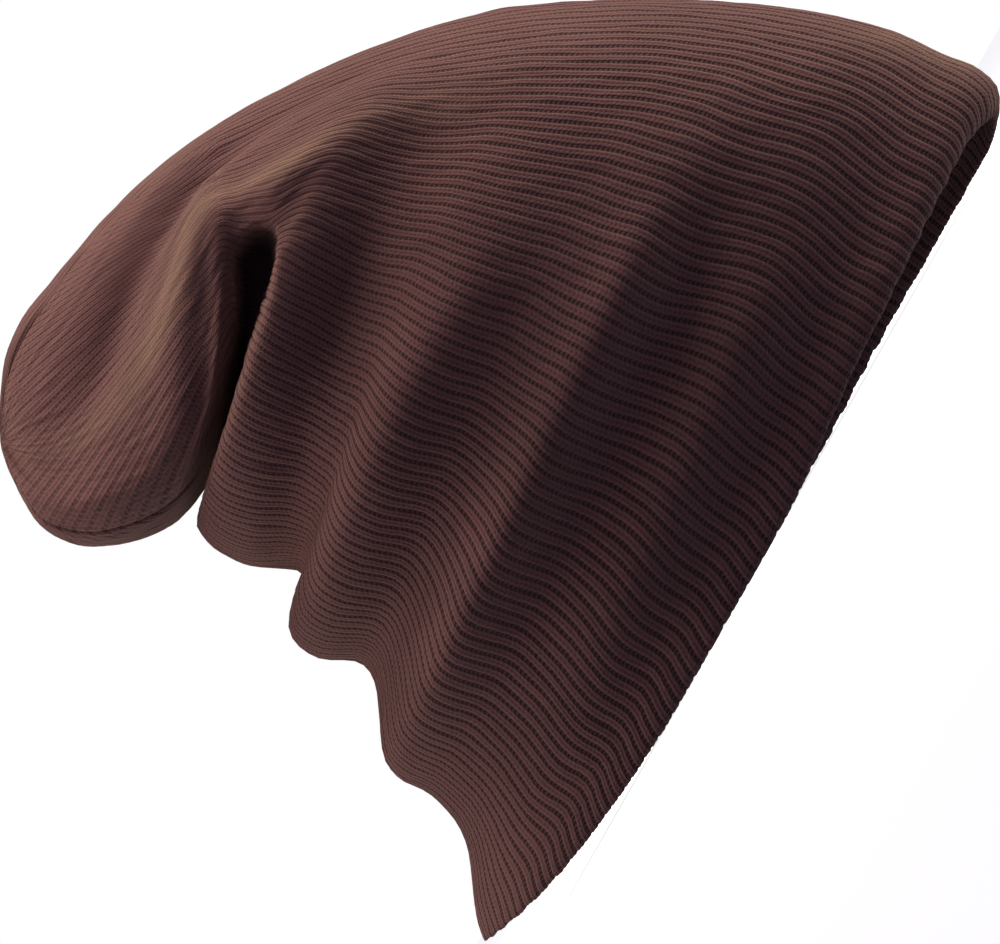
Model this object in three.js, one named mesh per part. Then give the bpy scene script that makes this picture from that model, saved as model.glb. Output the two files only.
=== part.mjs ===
// Knit hat: a soft hat of double rib knit that stands on its folded rim. Its long loose crown
// has slumped back, so a deep pocket opens below the overhanging lobe.
// Frame: millimetres, +X to the front, +Z up, floor at z = 0, near side at -Y.
import * as THREE from 'three'

// Driving sizes
const CLOTH_LENGTH = 261
const RIB_COUNT = 172
const HALF_RIBS = RIB_COUNT / 2
const LAYER_THICKNESS = 1.5
const INNER_THICKNESS = 1.2
const LAYER_GAP = 0.4
const HEM_HEIGHT = 12.5
const HEM_GAP = 0.4
const HEM_THICKNESS = LAYER_THICKNESS + LAYER_GAP + INNER_THICKNESS
const RIM_INSET = 0.8
const NEAR_COLUMNS = 22
const FAR_COLUMNS = 16

// The ridge that runs over the front and top, from the rim's front tip to the crown: x, z
const FRONT_LINE = [
  [101.8, 0], [105.5, 3.6], [106.4, 8], [105.5, 16.5], [104.7, 28.3], [102, 40.2],
  [98.6, 50.4], [92.2, 65.1], [84.9, 79.2], [76.6, 92.8], [67.3, 105.8], [55.9, 117.6],
  [42.9, 128.5], [28.5, 138.6], [12.6, 147.8], [0.3, 153], [-14.1, 157], [-30.3, 160],
  [-40.4, 161.5], [-48, 160.6], [-55.1, 157.8], [-60.8, 155], [-64.8, 152.5],
]

// The middle of the sides: cloth from the rim, x, z, half width, shoulder of the back half
const SIDE_LINE = [
  [0, 24.2, 0, 58, 0],
  [21, 24.2, 20.9, 60, 0],
  [42, 23.9, 42, 62, 0],
  [63, 21.6, 62.6, 63, 0],
  [83, 17.7, 82.4, 62.5, 0],
  [101, 11.8, 98.6, 61, 0],
  [113, 6.6, 109, 59, 0],
  [122, 2.3, 116.1, 58.5, 0],
  [129, -1.1, 120.5, 57, 1],
  [136, -2.9, 121.9, 55, 2],
  [157, -5.6, 123.3, 51, 3],
  [171, -8.3, 124.4, 47, 5],
  [184, -13.2, 123.6, 45, 7],
  [194, -22.2, 119.4, 43, 8],
  [204, -32.4, 115.8, 41, 8],
  [216, -43, 115.1, 38, 7],
  [228, -54.1, 117.6, 34, 5],
  [240, -64.8, 126.8, 27, 2],
  [250, -68.4, 138.7, 18, 1],
  [261, -64.8, 152.5, 0, 0],
]

// The ridge down the back, with its bulges between the folds: cloth from the rim, x, z
const BACK_LINE = [
  [0, -106.2, 0],
  [3, -105.1, 1.9],
  [12, -100.3, 9],
  [22, -90.9, 17.7],
  [28, -86.9, 23.5],
  [36, -85, 32.1],
  [44, -84.8, 40],
  [50, -81.9, 45.1],
  [58, -73.8, 51.9],
  [64, -70.8, 56.1],
  [71, -68.9, 61.8],
  [80, -71.1, 70.8],
  [87, -68.4, 77.5],
  [94, -62.3, 81.4],
  [99, -58.4, 82.2],
  [104, -59.5, 87.2],
  [114, -61.8, 96.3],
  [120, -61.5, 102.6],
  [125, -59.1, 107.4],
  [130, -55.6, 108.2],
  [140, -50.7, 106.4],
  [157, -45.5, 104.2],
  [172, -42.2, 104.3],
  [184, -41.5, 108.2],
  [190, -49.3, 110.8],
  [196, -57.2, 111.9],
  [206, -64.7, 114.2],
  [218, -72, 121],
  [230, -75.9, 129.1],
  [240, -75.5, 137.1],
  [248, -71.9, 143.6],
  [255, -67.8, 149.3],
  [261, -64.8, 152.5],
]

// Soft folds of the cloth, each from one place to another: start rib, start cloth,
// end rib, end cloth, width, height (below zero for a hollow)
const FOLDS = [
  { name: 'first crest', place: [36, 24, 56, 21], width: 7, height: 1.5 },
  { name: 'first hollow', place: [32, 38, 60, 39], width: 8, height: -1.9 },
  { name: 'first hollow at the back', place: [60, 39, 84, 40], width: 7, height: -1.5 },
  { name: 'second crest', place: [32, 57, 60, 52], width: 7, height: 2 },
  { name: 'second crest at the back', place: [60, 52, 82, 55], width: 7, height: 1.6 },
  { name: 'second hollow', place: [34, 72, 60, 70], width: 9, height: -2 },
  { name: 'second hollow at the back', place: [60, 70, 80, 68], width: 7, height: -2.2 },
  { name: 'third crest', place: [44, 91, 55, 89], width: 8, height: 2.4 },
  { name: 'third crest at the back', place: [55, 89, 80, 88], width: 7, height: 2 },
  { name: 'third hollow', place: [46, 108, 62, 103], width: 8, height: -2 },
  { name: 'third hollow at the back', place: [62, 103, 80, 101], width: 6, height: -2.4 },
  { name: 'throat', place: [28, 112, 42, 108], width: 11, height: -5 },
  { name: 'brow', place: [19, 112, 27, 150], width: 11, height: 2.4 },
  { name: 'brow over the pocket', place: [27, 150, 34, 190], width: 10, height: 3 },
  { name: 'brow on the lobe', place: [34, 190, 41, 212], width: 10, height: 3 },
  { name: 'brow at the lobe end', place: [41, 212, 50, 238], width: 10, height: 2.2 },
  { name: 'lobe hollow', place: [12, 145, 18, 188], width: 11, height: -1.2 },
  { name: 'lobe hollow middle', place: [18, 188, 26, 224], width: 11, height: -3 },
  { name: 'lobe hollow end', place: [26, 224, 38, 243], width: 10, height: -1.2 },
]
const FOLD_RIB_WIDTH = 2.2
const FOLD_END_SPREAD = 2.5

// The pocket under the lobe: its cloth turns in between the near and the far lip
const POCKET = {
  lipRib: 36.5, lipRise: 8, lipSpread: 24, middle: 165, edge: [-1, 7],
  turnIn: [124, 138], turnOut: [172, 190], sideDepth: 18, backDepth: 14, farShare: 0.6,
}

// How far the rim stands off the floor at its tips and along its arched near side
const LIFT = { nape: 10.6, tip: 3.4, near: 6.2, far: 0.9, fade: 35 }

// How much of the folds the plainer far side has
const FAR_FOLDS = 0.7

// Rows of the grid, by cloth from the rim
const ROWS = [
  2.4, 7, 12.5, 17, 21, 26, 31, 36, 41, 47, 52, 57, 62, 68, 74, 80, 86, 92, 97, 102, 108, 114,
  120, 126, 138, 147, 156, 165, 174, 187, 203, 216, 228, 238, 247, 254,
]
// The inner faces close over the crown from this row
const LAST_INNER_ROW = 247

const clamp = (value, low, high) => Math.min(Math.max(value, low), high)

function smooth(from, to, value) {
  const share = clamp((value - from) / (to - from), 0, 1)
  return share * share * (3 - 2 * share)
}

// Gives the front line its cloth lengths, by its own length
function withCloth(line) {
  const rows = [[0, ...line[0]]]
  let length = 0
  for (let k = 1; k < line.length; k++) {
    length += Math.hypot(line[k][0] - line[k - 1][0], line[k][1] - line[k - 1][1])
    rows.push([length, ...line[k]])
  }
  return rows.map(([cloth, x, z]) => [(cloth * CLOTH_LENGTH) / length, x, z])
}

// A smooth curve through the rows of a table, by cloth
function curve(table, column) {
  const at = table.map((row) => row[0])
  const value = table.map((row) => row[column])
  const last = at.length - 1
  const slope = []
  for (let k = 0; k < last; k++) {
    slope.push((value[k + 1] - value[k]) / (at[k + 1] - at[k]))
  }
  const tangent = value.map((_, k) => {
    if (k === 0) return slope[0]
    if (k === last) return slope[last - 1]
    const before = at[k] - at[k - 1]
    const after = at[k + 1] - at[k]
    return (slope[k - 1] * after + slope[k] * before) / (before + after)
  })
  return (cloth) => {
    const c = clamp(cloth, 0, at[last])
    let k = 0
    while (k < last - 1 && at[k + 1] <= c) k++
    const step = at[k + 1] - at[k]
    const s = (c - at[k]) / step
    return (
      (2 * s ** 3 - 3 * s ** 2 + 1) * value[k] +
      (s ** 3 - 2 * s ** 2 + s) * step * tangent[k] +
      (3 * s ** 2 - 2 * s ** 3) * value[k + 1] +
      (s ** 3 - s ** 2) * step * tangent[k + 1]
    )
  }
}

const frontRows = withCloth(FRONT_LINE)
const front = { x: curve(frontRows, 1), z: curve(frontRows, 2) }
const side = { x: curve(SIDE_LINE, 1), z: curve(SIDE_LINE, 2) }
const back = { x: curve(BACK_LINE, 1), z: curve(BACK_LINE, 2) }
const halfWidth = curve(SIDE_LINE, 3)
const shoulder = curve(SIDE_LINE, 4)

// One ring of the hat round its three guide lines: angle 0 at the front, PI at the back
const SIDE_SHIFT = 0.25
const SIDE_ROUNDING = 0.25
const NAPE_POINT = 0.1
const LOBE_FULLNESS = 0.3
function ring(cloth) {
  const f = { x: front.x(cloth), z: front.z(cloth) }
  const m = { x: side.x(cloth), z: side.z(cloth) }
  const b = { x: back.x(cloth), z: back.z(cloth) }
  const wide = halfWidth(cloth)
  const bulge = shoulder(cloth)
  const nape = NAPE_POINT * smooth(160, 110, cloth)
  const full = LOBE_FULLNESS * smooth(192, 214, cloth)
  return (angle) => {
    const c = Math.cos(angle)
    const lean = c - SIDE_SHIFT * (1 - c * c)
    const reach = Math.sqrt((lean ** 2 + SIDE_ROUNDING ** 2) / (1 + SIDE_ROUNDING ** 2))
    const toFront = (lean + reach) / 2
    const toBack = (reach - lean) / 2
    const backward = clamp((1 - c) / 2, 0, 1)
    const power = 1 + nape * backward ** 2 - full * backward
    const sine = Math.max(Math.sin(angle), 0)
    return [
      toFront * f.x + toBack * b.x + (1 - reach) * m.x,
      wide * sine ** power + bulge * Math.sin(2 * angle),
      toFront * f.z + toBack * b.z + (1 - reach) * m.z,
    ]
  }
}

// The angle of each rib, so that the ribs share the ring's length evenly
const RING_STEPS = 160
function ribAngles(at, ribs) {
  const length = [0]
  let previous = at(0)
  for (let k = 1; k <= RING_STEPS; k++) {
    const point = at((Math.PI * k) / RING_STEPS)
    const step = Math.hypot(
      point[0] - previous[0], point[1] - previous[1], point[2] - previous[2],
    )
    length.push(length[k - 1] + step)
    previous = point
  }
  return ribs.map((rib) => {
    const target = (length[RING_STEPS] * rib) / HALF_RIBS
    let k = 1
    while (k < RING_STEPS && length[k] < target) k++
    const share = (target - length[k - 1]) / (length[k] - length[k - 1])
    return (Math.PI * (k - 1 + clamp(share, 0, 1))) / RING_STEPS
  })
}

function foldHeight(rib, cloth) {
  let height = 0
  for (const fold of FOLDS) {
    const [rib0, cloth0, rib1, cloth1] = fold.place
    const across = (rib1 - rib0) * FOLD_RIB_WIDTH
    const along = cloth1 - cloth0
    const length = Math.hypot(across, along)
    const dx = (rib - rib0) * FOLD_RIB_WIDTH
    const dy = cloth - cloth0
    const way = (dx * across + dy * along) / length
    const beyond = way - clamp(way, 0, length)
    const off = (dy * across - dx * along) / length
    const end = beyond / (FOLD_END_SPREAD * fold.width)
    height += fold.height * Math.exp(-((off / fold.width) ** 2) - end ** 2)
  }
  return height
}

function pocketDepth(rib, cloth) {
  const lip = POCKET.lipRib + POCKET.lipRise * ((cloth - POCKET.middle) / POCKET.lipSpread) ** 2
  const below = smooth(lip + POCKET.edge[0], lip + POCKET.edge[1], rib)
  const turn = smooth(...POCKET.turnIn, cloth) - smooth(...POCKET.turnOut, cloth)
  const toBack = smooth(34, HALF_RIBS, rib)
  const depth = POCKET.sideDepth + (POCKET.backDepth - POCKET.sideDepth) * toBack
  return depth * below * turn
}

function rimLift(angle, near) {
  const c = Math.cos(angle)
  const nape = LIFT.nape * clamp((-c - 0.5) / 0.5, 0, 1) ** 2
  const tip = LIFT.tip * clamp((1 + c) / 2, 0, 1) ** 8
  const arch = near
    ? LIFT.near * (0.55 * smooth(0.08, 0.5, c) + 0.45 * smooth(0.4, 1, c))
    : LIFT.far * smooth(0.2, 0.6, c)
  const away = smooth(0, 0.45, angle)
  return nape + tip * (1 - away) * clamp(2 * c, 0, 1) + arch * away
}

// The points of one row of the outer face, on the near or the far side
function clothRow(cloth, near, ribs) {
  const at = ring(cloth)
  const angles = ribAngles(at, ribs)
  const ex = (front.x(cloth) - back.x(cloth)) / 2
  const ez = (front.z(cloth) - back.z(cloth)) / 2
  const span = Math.hypot(ex, ez) + 1e-6
  const wide = Math.max(halfWidth(cloth), 1)
  const shown = smooth(2, 12, cloth) * smooth(CLOTH_LENGTH, 245, cloth)
  return ribs.map((rib, k) => {
    const angle = angles[k]
    const along = Math.cos(angle) * wide
    const out = Math.sin(angle) * span
    const size = Math.hypot(along, out)
    const share = near ? 1 : FAR_FOLDS
    const pocketShare = near ? 1 : POCKET.farShare
    const height =
      share * foldHeight(rib, cloth) - pocketShare * pocketDepth(rib, cloth)
    const push = (height * shown) / size
    const [x, y, z] = at(angle)
    const lift = rimLift(angle, near) * Math.exp(-cloth / LIFT.fade)
    return new THREE.Vector3(
      x + (push * along * ex) / span,
      (near ? -1 : 1) * (y + push * out),
      z + (push * along * ez) / span + lift,
    )
  })
}

function fullRow(cloth) {
  const nearRibs = []
  for (let k = 0; k < NEAR_COLUMNS; k++) nearRibs.push((HALF_RIBS * k) / NEAR_COLUMNS)
  const farRibs = []
  for (let k = FAR_COLUMNS; k > 0; k--) farRibs.push((HALF_RIBS * k) / FAR_COLUMNS)
  return [...clothRow(cloth, true, nearRibs), ...clothRow(cloth, false, farRibs)]
}

// Outward steps at every point that move all the faces round it by one millimetre
const LONGEST_STEP = 1.3
function outwardSteps(rows) {
  const count = rows[0].length
  const faceNormal = (r, c) => {
    if (r < 0 || r >= rows.length - 1) return null
    const left = (c + count) % count
    const right = (left + 1) % count
    const rising = rows[r + 1][right].clone().sub(rows[r][left])
    const falling = rows[r + 1][left].clone().sub(rows[r][right])
    return rising.cross(falling).negate().normalize()
  }
  return rows.map((row, r) =>
    row.map((_, c) => {
      const around = [[r, c], [r, c - 1], [r - 1, c], [r - 1, c - 1]]
      const normals = around.map(([y, x]) => faceNormal(y, x)).filter((n) => n)
      const mean = new THREE.Vector3()
      for (const n of normals) mean.addScaledVector(n, 1 / normals.length)
      const length = mean.length()
      return mean.divideScalar(length).multiplyScalar(Math.min(1 / length, LONGEST_STEP))
    }),
  )
}

const RIM_ROWS = [0, 0.7]
const CLOTHS = [...RIM_ROWS, ...ROWS]
const GRID = CLOTHS.map((cloth) => fullRow(cloth))
const STEPS = outwardSteps(GRID)
const LEVEL_STEPS = STEPS[0].map((step) => step.clone().setZ(0).normalize())

// A row of the grid moved into the cloth by some depth; level rings keep their height
function inward(row, depth, level = false) {
  const steps = level ? LEVEL_STEPS : STEPS[row]
  const points = GRID[row].map((point, c) => point.clone().addScaledVector(steps[c], -depth))
  return { points, face: GRID[row] }
}

// A closed skin from one end point, over the rings in turn, to the other end point.
// Every face of the cloth splits its quads the same way, by the outer face's diagonals.
function skin(name, rings, start, end, material) {
  const count = GRID[0].length
  const points = [start, ...rings.flatMap((one) => one.points), end]
  const faces = []
  const spot = (r, c) => 1 + r * count + (c % count)
  for (let c = 0; c < count; c++) {
    faces.push([0, spot(0, c + 1), spot(0, c)])
    faces.push([points.length - 1, spot(rings.length - 1, c), spot(rings.length - 1, c + 1)])
  }
  for (let r = 0; r < rings.length - 1; r++) {
    const upper = rings[r].face
    const lower = rings[r + 1].face
    for (let c = 0; c < count; c++) {
      const next = (c + 1) % count
      const quad = [spot(r, c), spot(r, c + 1), spot(r + 1, c + 1), spot(r + 1, c)]
      if (upper[c].distanceTo(lower[next]) <= upper[next].distanceTo(lower[c])) {
        faces.push([quad[0], quad[1], quad[2]], [quad[0], quad[2], quad[3]])
      } else {
        faces.push([quad[1], quad[2], quad[3]], [quad[1], quad[3], quad[0]])
      }
    }
  }
  const geometry = new THREE.BufferGeometry()
  const flat = points.flatMap((point) => [point.x, point.y, point.z])
  geometry.setAttribute('position', new THREE.Float32BufferAttribute(flat, 3))
  geometry.setIndex(faces.flat())
  geometry.computeVertexNormals()
  const mesh = new THREE.Mesh(geometry, material)
  mesh.name = name
  return mesh
}

function crownPoint(depth) {
  const x = front.x(CLOTH_LENGTH)
  const z = front.z(CLOTH_LENGTH)
  const down = new THREE.Vector3(0.75, 0, -0.66).normalize()
  return new THREE.Vector3(x, 0, z).addScaledVector(down, depth)
}

// The outer layer: its cloth, folded under at the rim and turned up inside as the hem
function outerLayer() {
  const hem = CLOTHS.indexOf(HEM_HEIGHT)
  const last = CLOTHS.indexOf(LAST_INNER_ROW)
  const rings = []
  for (let r = CLOTHS.length - 1; r >= 2; r--) rings.push(inward(r, 0))
  rings.push(
    inward(1, 0.25, true),
    inward(0, RIM_INSET, true),
    inward(0, HEM_THICKNESS - RIM_INSET, true),
    inward(1, HEM_THICKNESS - 0.25, true),
    inward(2, HEM_THICKNESS, true),
    inward(hem, HEM_THICKNESS),
  )
  for (let r = hem; r <= last; r++) rings.push(inward(r, LAYER_THICKNESS))
  const material = new THREE.MeshStandardMaterial({ color: 0x5c423e, roughness: 0.95 })
  return skin('outer_layer', rings, crownPoint(0), crownPoint(LAYER_THICKNESS), material)
}

// The inner layer: the other half of the doubled cloth, from the hem up to the crown
function innerLayer() {
  const outerFace = LAYER_THICKNESS + LAYER_GAP
  const innerFace = outerFace + INNER_THICKNESS
  const hem = CLOTHS.indexOf(HEM_HEIGHT)
  const last = CLOTHS.indexOf(LAST_INNER_ROW)
  const lifted = (one) => {
    const points = one.points.map((point) => point.clone().setZ(point.z + HEM_GAP))
    return { points, face: one.face }
  }
  const rings = []
  for (let r = last; r > hem; r--) rings.push(inward(r, outerFace))
  rings.push(lifted(inward(hem, outerFace)), lifted(inward(hem, innerFace)))
  for (let r = hem + 1; r <= last; r++) rings.push(inward(r, innerFace))
  const material = new THREE.MeshStandardMaterial({ color: 0x4f3834, roughness: 0.95 })
  return skin('inner_layer', rings, crownPoint(outerFace), crownPoint(innerFace), material)
}

const group = new THREE.Group()
group.name = 'knit_hat'
group.add(outerLayer(), innerLayer())

export default group
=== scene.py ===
import math

import bmesh
import bpy
import numpy as np
from mathutils import Matrix, Vector


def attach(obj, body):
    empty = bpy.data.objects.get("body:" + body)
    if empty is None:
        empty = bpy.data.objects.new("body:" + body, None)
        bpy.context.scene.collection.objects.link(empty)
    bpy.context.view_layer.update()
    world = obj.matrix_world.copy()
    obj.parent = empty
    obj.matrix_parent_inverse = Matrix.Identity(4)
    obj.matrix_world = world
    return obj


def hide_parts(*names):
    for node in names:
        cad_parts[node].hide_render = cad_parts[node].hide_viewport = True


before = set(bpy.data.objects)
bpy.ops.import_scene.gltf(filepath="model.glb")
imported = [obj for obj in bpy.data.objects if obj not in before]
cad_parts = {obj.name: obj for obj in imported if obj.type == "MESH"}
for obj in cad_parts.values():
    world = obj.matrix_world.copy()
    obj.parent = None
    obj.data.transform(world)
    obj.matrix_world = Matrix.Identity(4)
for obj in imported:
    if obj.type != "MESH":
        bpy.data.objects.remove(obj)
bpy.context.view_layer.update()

bl_info = {
    "name": "Knit hat",
    "version": (1, 0, 0),
    "blender": (4, 5, 0),
    "location": "View3D > Sidebar > Knit hat",
    "description": "A soft hat of double rib knit, standing on its folded rim",
    "category": "Add Mesh",
}

MM = 0.001
# Keeps a length of nothing from being divided by
TINY = 1e-6

# The knit: ribs round the hat, cloth from the rim to the crown and a rib's width, in millimetres
RIB_COUNT = 172
HALF_RIBS = RIB_COUNT / 2
CLOTH_LENGTH = 261.0
RIB_PITCH = 3.0

# The ridge over the front and top, from the rim's front tip to the crown: x, z in millimetres
FRONT_LINE = [
    (101.8, 0), (105.5, 3.6), (106.4, 8), (105.5, 16.5), (104.7, 28.3), (102, 40.2),
    (98.6, 50.4), (92.2, 65.1), (84.9, 79.2), (76.6, 92.8), (67.3, 105.8), (55.9, 117.6),
    (42.9, 128.5), (28.5, 138.6), (12.6, 147.8), (0.3, 153), (-14.1, 157), (-30.3, 160),
    (-40.4, 161.5), (-48, 160.6), (-55.1, 157.8), (-60.8, 155), (-64.8, 152.5),
]

# The middle of the sides: cloth from the rim, x, z, half width, shoulder of the back half
SIDE_LINE = [
    (0, 24.2, 0, 57.5, 0), (21, 24.2, 20.9, 59, 0), (42, 23.9, 42, 63, 0),
    (63, 21.6, 62.6, 64.5, 0), (83, 17.7, 82.4, 62.5, 0), (101, 11.8, 98.6, 60, 0),
    (113, 6.6, 109, 59, 0), (122, 2.3, 116.1, 58.5, 0), (129, -1.1, 120.5, 57, 1),
    (136, -2.9, 121.9, 55, 2), (157, -5.6, 123.3, 51.5, 3), (171, -8.3, 124.4, 47, 5),
    (184, -13.2, 123.6, 45, 7), (194, -22.2, 119.4, 43.5, 8), (204, -32.4, 115.8, 41, 8),
    (216, -43, 115.1, 38.5, 7), (228, -54.1, 117.6, 34, 5), (240, -64.8, 126.8, 27, 2),
    (250, -68.4, 138.7, 18, 1), (261, -64.8, 152.5, 0, 0),
]

# The ridge down the back, with its bulges between the folds: cloth from the rim, x, z
BACK_LINE = [
    (0, -106.2, 0), (3, -105.1, 1.9), (12, -100.3, 9), (22, -90.9, 17.7), (28, -86.9, 23.5),
    (36, -85, 32.1), (44, -84.8, 40), (50, -81.9, 45.1), (58, -73.8, 51.9), (64, -70.8, 56.1),
    (71, -68.9, 61.8), (80, -71.1, 70.8), (87, -68.4, 77.5), (94, -62.3, 81.4),
    (99, -58.4, 82.2), (104, -59.5, 87.2), (114, -61.8, 96.3), (120, -61.5, 102.6),
    (125, -59.1, 107.4), (130, -55.6, 108.2), (140, -50.7, 106.4), (157, -45.5, 104.2),
    (172, -42.2, 104.3), (184, -41.5, 107.9), (190, -49.3, 109.7), (196, -57.2, 110.6),
    (206, -64.7, 113.8), (218, -72, 121), (230, -75.9, 129.1), (240, -75.5, 137.1),
    (248, -71.9, 143.6), (255, -67.8, 149.3), (261, -64.8, 152.5),
]

# A ring between the three lines: how far its middle leans, and how softly it turns there
RING = {"lean": 0.25, "turn": 0.25}
# Its back half is more pointed low down and fuller on the lobe: by how much, and the cloth
# over which each sets in
RING_BACK = {"pointed": 0.1, "low": (160, 110), "fuller": 0.3, "lobe": (192, 214)}
# Points at which a ring is measured, to space its ribs evenly
RING_STEPS = 241

# Soft folds: start rib, start cloth, end rib, end cloth, width, height (below 0 for a hollow)
FOLDS = {
    "first crest": (36.5, 24.6, 53.4, 23.4, 8, 3.1),
    "first hollow": (32.8, 42, 58.4, 37.4, 7.5, -2.5),
    "first hollow at the back": (59.8, 38.4, 84, 39.5, 7, -0.7),
    "second crest": (36, 53.4, 60.9, 51.9, 7, 3.3),
    "second crest at the back": (57.5, 51.5, 81.9, 54.3, 7.9, 2.4),
    "second hollow": (35.9, 73, 59.9, 69.5, 8.9, -1.3),
    "second hollow at the back": (59, 69.8, 80.1, 68, 8, -2.2),
    "third crest": (44.5, 85.3, 54.9, 91, 8.5, 2.1),
    "third crest at the back": (54.4, 84, 80, 88, 7.1, 2.2),
    "third hollow": (45.6, 109.4, 62.7, 107.7, 7.9, -2.5),
    "third hollow at the back": (62, 106, 80.7, 100.3, 6.2, -2.5),
    "throat": (28.9, 112.1, 41.1, 108.4, 12.6, -4.3),
    "brow": (19.5, 111.5, 27.4, 149.6, 9.6, 1.6),
    "brow over the pocket": (31, 149.3, 34.8, 189.2, 8.7, 2.5),
    "brow on the lobe": (32, 193.7, 43.6, 210.4, 8.7, 2.9),
    "brow at the lobe's end": (40.4, 213.3, 51.5, 236.3, 8.4, 1.5),
    "lobe hollow": (13, 143.9, 19.8, 188.5, 9.4, -2),
    "lobe hollow middle": (19.7, 188.7, 28.4, 222.8, 9.1, -4.1),
    "lobe hollow end": (29.2, 220.9, 40.7, 240.4, 8.8, -1.9),
    "front crest": (16.1, 44.2, 27.4, 62.9, 10.1, 0.4),
    "rim hollow": (23.8, 12.4, 52.3, 11.6, 7.5, -1.1),
    "front rim crest": (8.1, 20.8, 22.1, 34, 8.9, 0.4),
    "lobe side crest": (45.1, 205.3, 52.6, 225.7, 8, 0.8),
    "lobe edge": (41, 187, 57, 201, 6.5, 2.2),
    "nape hollow low": (59.6, 11.5, 76.1, 14, 7.2, -0.9),
}
# A rib's width as the folds count it, and how far a fold runs out at its ends, in its own widths
FOLD_RIB_WIDTH = 2.2
FOLD_END_SPREAD = 2.5
# The cloth over which folds grow above the rim, and from which they fade toward the crown
FOLDS_GROW = (2, 12)
FOLDS_FADE = 245
# Height of the far side's folds against the near side's, and the ribs over which they change
FAR_FOLDS = 0.7
FAR_BLEND = 12

# The pocket under the lobe. Its lip is an arch over the ribs: the rib at its middle, its rise at
# a spread of cloth to each side, and the ribs over which the cloth turns in below it
POCKET_LIP = {"rib": 36, "rise": 4.5, "spread": 24, "middle": 160, "soft": (-0.5, 3)}
# The cloth over which it turns in and out again at the side and behind, and the ribs between
POCKET_TURNS = {"in": (126, 136), "out": (170, 182)}
POCKET_BACK_TURNS = {"in": (124, 138), "out": (172, 190)}
POCKET_BEHIND = (44, 56)
# Its depth in millimetres at the side and, from a rib on, toward the back, and the far side's share
POCKET_DEPTH = {"side": 27, "back": 14, "from_rib": 34, "far": 0.45}
# The ribs over which it swings from straight in to the ring's normal
POCKET_SWINGS = (42, 62)

# How far the rim stands off the floor at its nape, its front tip and under the arch of each
# side, and the cloth over which that fades
LIFT = {"nape": 10.6, "tip": 3.4, "near": 6.2, "far": 0.9, "fade": 35}
# Where it does so, by the cosine of the angle from the front tip: the nape's start and
# steepness, the tip's steepness, and the feet and heads of the arches with their shares
RISE = {"nape": (0.1, 2.4), "tip": 8, "near": ((0.55, (0.08, 0.5)), (0.45, (0.4, 1))),
        "far": (0.2, 0.6)}
# The angle over which the front tip's lift gives way to the arches
TIP_ANGLE = 0.45

# How far the ribs slide toward the back on their way up, in ribs, at five of them: the side's
# ribs stand upright, gather behind and bend at the hem. Cloth, then ribs 14, 28, 42, 56 and 70
RIB_SLIDE = [
    (0, -0.5, -0.4, 0.5, 1.2, -0.7), (3.5, 0, 0.1, 0.6, 1.3, -0.8), (8, 0.4, 0.4, 0.6, 1.1, -1.2),
    (20, 0.6, 0.8, 1.3, 2.0, 0.5), (30, 0.6, 1.0, 1.5, 1.8, 0.9), (40, 0.7, 1.3, 1.6, 1.3, 0.5),
    (60, 0.7, 2.2, 2.5, 1.2, 0.6), (80, 1.0, 1.7, 1.8, 0.6, -1.3), (100, 2.4, 1.9, 1.9, 0.5, -0.8),
    (120, 1.9, 0.6, -0.1, -1.8, -1.5), (150, 2.3, 2.0, 0.5, -1.5, -0.7),
    (190, 1.0, 1.5, -0.4, -0.5, -0.1), (215, -0.3, 0.7, 0.3, 0, 0), (240, -0.3, 0.2, -0.6, 0, 0),
    (261, -0.2, 0.2, -0.4, 0, 0),
]
# Ribs between two columns of the table, how far a column's slide spreads, in such steps, and
# the ribs over which the slide begins at the front and ends at the back
SLIDE_STEP = 14
SLIDE_SPREAD = 0.75
SLIDE_EDGE = 8

# Wavers of the knit: how many waves add up, their turns round the hat and their lean
WAVES = {"count": 14, "turns": (3, 40), "lean": 0.25}
# The ribs waver by a part of a rib, from above the rim up to the crown
RIB_WAVER = {"seed": 7, "size": 0.06, "grows": (0, 20), "fades": 240}
# The cloth is a little lumpy, in millimetres, with waves shorter than the ribs' by these factors
LUMPS = {"seed": 19, "size": 0.08, "cloth": 2.3, "ribs": 2.7}

# The crown: on each side of the lobe the ribs fan out from the brow and end at its seams.
# The fan's centre x and z, the cloth where it begins and where it is full, the cloth counted at
# its centre, the share by which the ribs between the seams draw together, and the seams' ribs
# with the cloth where each begins
CROWN = {
    "x": 27.3, "z": 124.5, "begins": 176, "full": 204, "centre": 155, "drawn": 0.8,
    "seams": (10, 69.25, 102.75, 162), "seam_starts": (226, 190, 190, 226),
}
# A seam's half width and depth in millimetres, the cloth over which it begins, and the cloth
# from which it runs out at the crown's tip
SEAM = {"width": 0.9, "depth": 1.5, "start": 10, "end": 252}
# Lean of a line of the fan from upright, in degrees, and the rib that lies there
FAN = [
    (0, -37), (30, -7), (42, 3), (58, 18), (70, 31), (83, 42), (94, 49), (105, 54), (120, 60),
    (150, 68), (180, 76),
]

# Painted highlight, where lit crests are made paler in colour: start rib, start cloth, end rib, end
# cloth, width, strength
PAINTED_HIGHLIGHTS = {
    "brow": (20, 118, 26, 148, 6, 0.4),
    "brow over the pocket": (26.5, 150, 28.5, 182, 4, 0.6),
    "lobe crest": (28, 188, 34.4, 207, 4.5, 0.7),
    "lobe crest's end": (34.9, 209, 38.5, 232, 7, 0.55),
    "front tip": (0, 4, 3, 26, 5, 0.55),
}
PAINTED_HIGHLIGHT_MOST = 0.85

# Height of the knit over half a rib: a valley, a ridge of stitches and the dip between two ridges
RIB_PROFILE = ((0, 0.5, 1), (0, 1, 0.7))

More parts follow.
